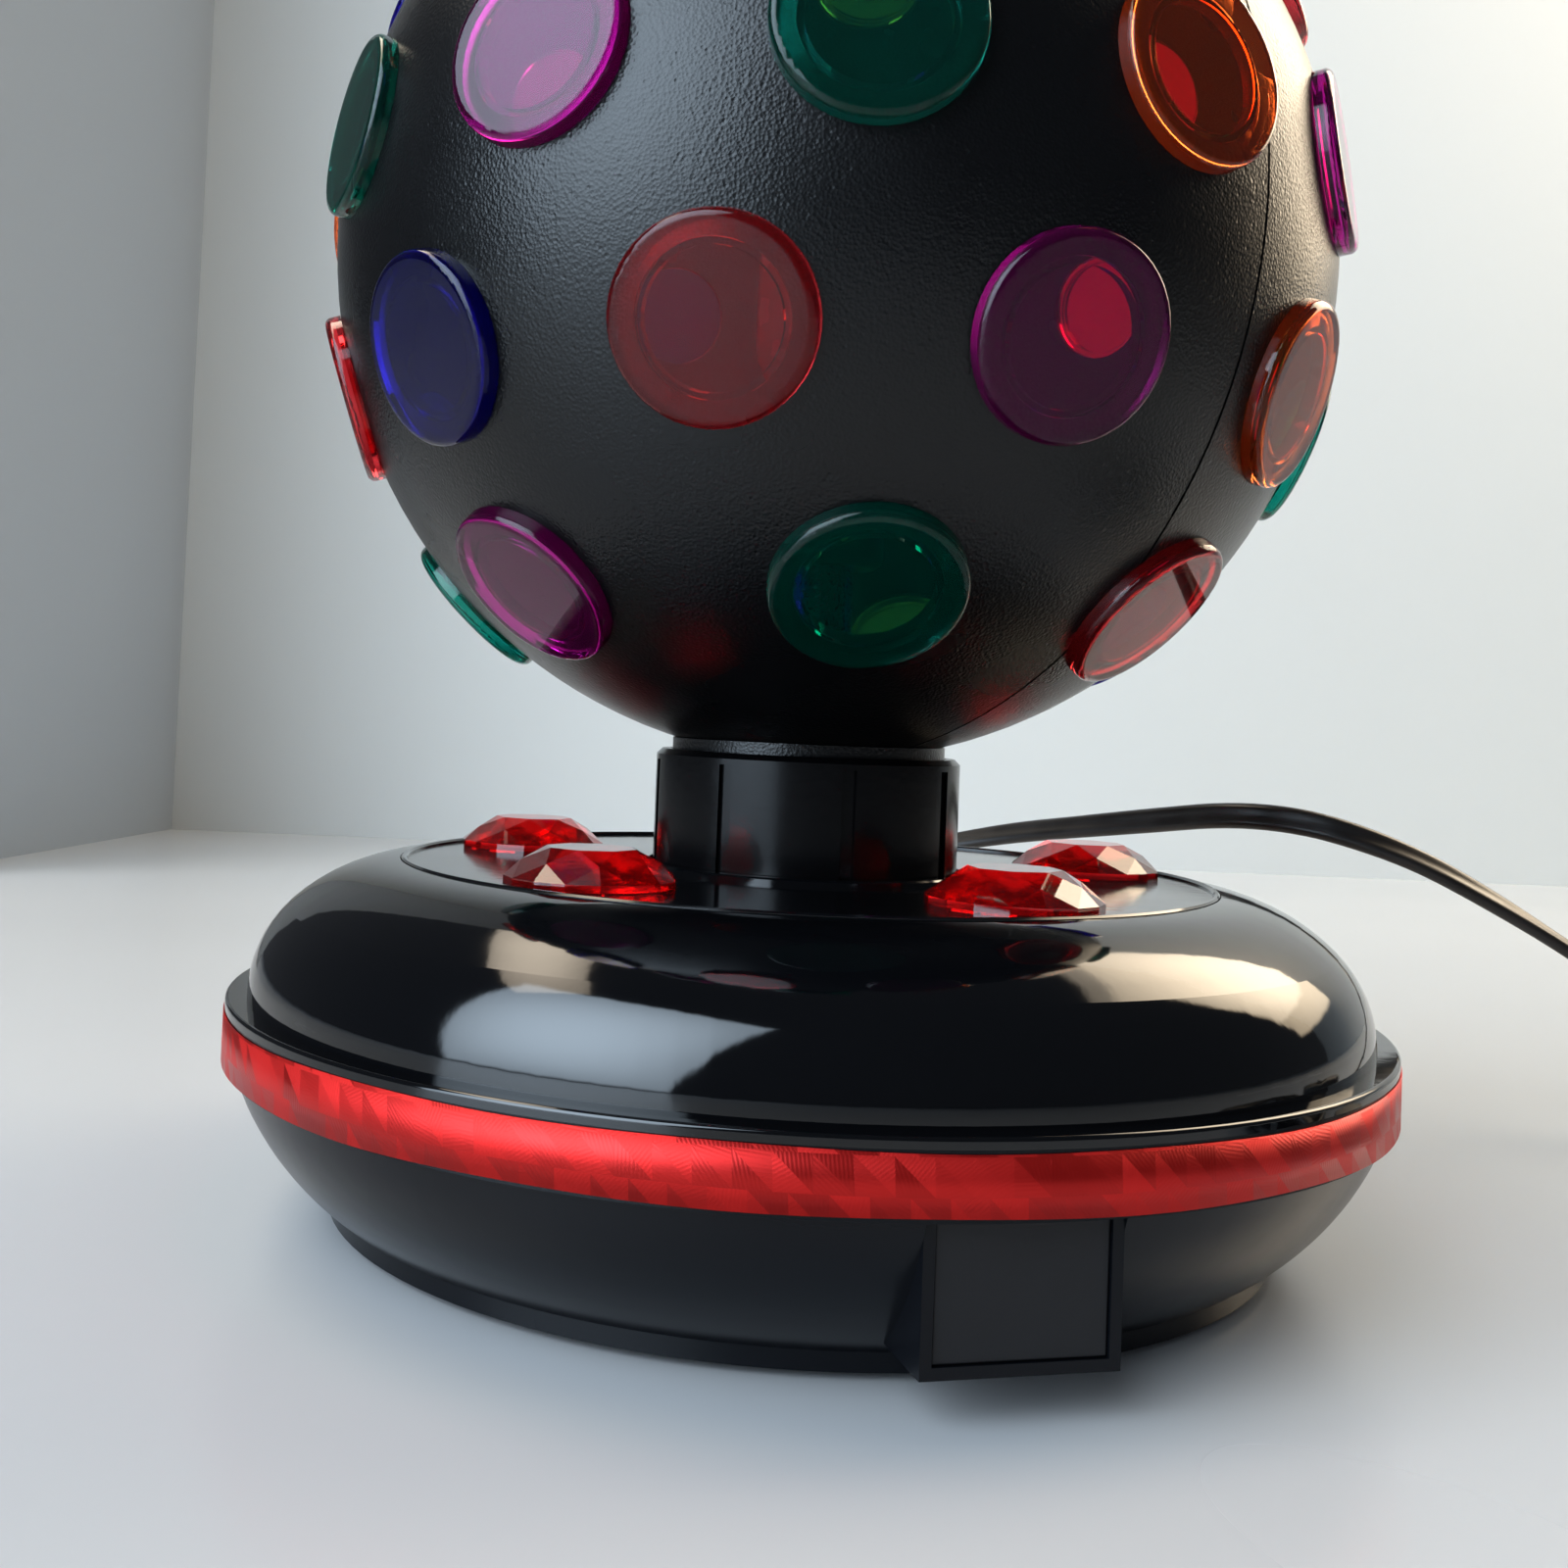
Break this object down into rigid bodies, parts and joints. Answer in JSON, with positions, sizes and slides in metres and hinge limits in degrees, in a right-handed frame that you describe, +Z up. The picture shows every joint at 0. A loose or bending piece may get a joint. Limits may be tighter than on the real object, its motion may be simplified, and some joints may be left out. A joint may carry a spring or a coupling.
{
  "type": "rotating disco ball lamp",
  "caption": "Rotating party lamp: a ball set with coloured lenses turns on a grooved neck over a round motor base with gems, a foil band and a supply cord.",
  "frame": {"origin": "middle of the base at the level the rubber feet stand on", "axes": "+Z up along the axis the ball turns on, -Y to the front with the blank panel, the cord leaves towards +Y"},
  "size_m": [0.4097, 0.3914, 0.2895],
  "materials": {
    "base_plastic": "satin",
    "gloss_shell": "gloss",
    "foil": "holographic foil",
    "panel": "matte",
    "gem": "clear red",
    "rubber": "satin",
    "steel": "zinc plated",
    "chassis_plastic": "natural",
    "tube_metal": "plated",
    "holder_plastic": "satin",
    "contact_brass": "polished",
    "cap_metal": "satin",
    "bulb_glass": "frosted",
    "small_black": "satin",
    "block_plastic": "matte",
    "lead_plastic": "satin",
    "collar_plastic": "semi-gloss",
    "ball_plastic": "fine pebble grain",
    "lens_blue": "translucent",
    "lens_green": "translucent",
    "lens_magenta": "translucent",
    "lens_orange": "translucent",
    "lens_red": "translucent"
  },
  "bodies": {
    "base": {"base_lower_shell": "base_plastic", "base_upper_shell": "gloss_shell", "foil_band": "foil", "front_blank_panel": "panel", "deck_plate": "gloss_shell", "deck_gems": "gem", "rubber_feet": "rubber", "base_screws": "steel", "drive_chassis": "chassis_plastic", "chassis_screws": "steel", "motor_can": "steel", "motor_mount_plate": "steel", "motor_screws": "steel", "thrust_washer": "chassis_plastic", "lamp_post": "tube_metal", "lamp_post_nut": "steel", "lamp_holder": "holder_plastic", "holder_contact": "contact_brass", "bulb_cap": "cap_metal", "bulb_glass": "bulb_glass", "cord_strain_relief": "rubber", "supply_cord": "rubber", "coil_lead": "rubber", "cord_coil": "rubber", "plug_lead": "rubber", "coil_tie": "small_black", "switch_lower": "small_black", "switch_upper": "small_black", "switch_screws": "steel", "plug_body": "small_black", "plug_blades": "contact_brass", "terminal_block": "block_plastic", "inner_leads": "lead_plastic"},
    "turntable": {"turntable_hub": "chassis_plastic", "ring_gear": "chassis_plastic", "neck_collar": "collar_plastic", "collar_screws": "steel"},
    "ball": {"ball_front_half": "ball_plastic", "ball_back_half": "ball_plastic", "ball_neck_ring": "ball_plastic", "lenses_blue": "lens_blue", "lenses_green": "lens_green", "lenses_magenta": "lens_magenta", "lenses_orange": "lens_orange", "lenses_red": "lens_red"},
    "motor_rotor": {"motor_shaft": "steel", "drive_pinion": "chassis_plastic"},
    "rocker": {"switch_rocker": "small_black"}
  },
  "joints": [
    {"name": "ball_spin", "type": "hinge", "parent": "base", "child": "turntable", "pos_m": [0, 0, 0.05], "axis": [0, 0, 1], "continuous": true},
    {"name": "ball_lift", "type": "slide", "parent": "turntable", "child": "ball", "axis": [0, 0, 1], "range_m": [0, 0.14]},
    {"name": "motor_spin", "type": "hinge", "parent": "base", "child": "motor_rotor", "pos_m": [0.03182, 0.03182, 0.05], "axis": [0, 0, 1], "continuous": true},
    {"name": "switch_rocker_tilt", "type": "hinge", "parent": "base", "child": "rocker", "pos_m": [0.282, -0.066, 0.0125], "axis": [1, 0, 0], "range_deg": [0, 20]}
  ],
  "couplings": [
    {"joint": "motor_spin", "follows": "ball_spin", "ratio": -4}
  ]
}
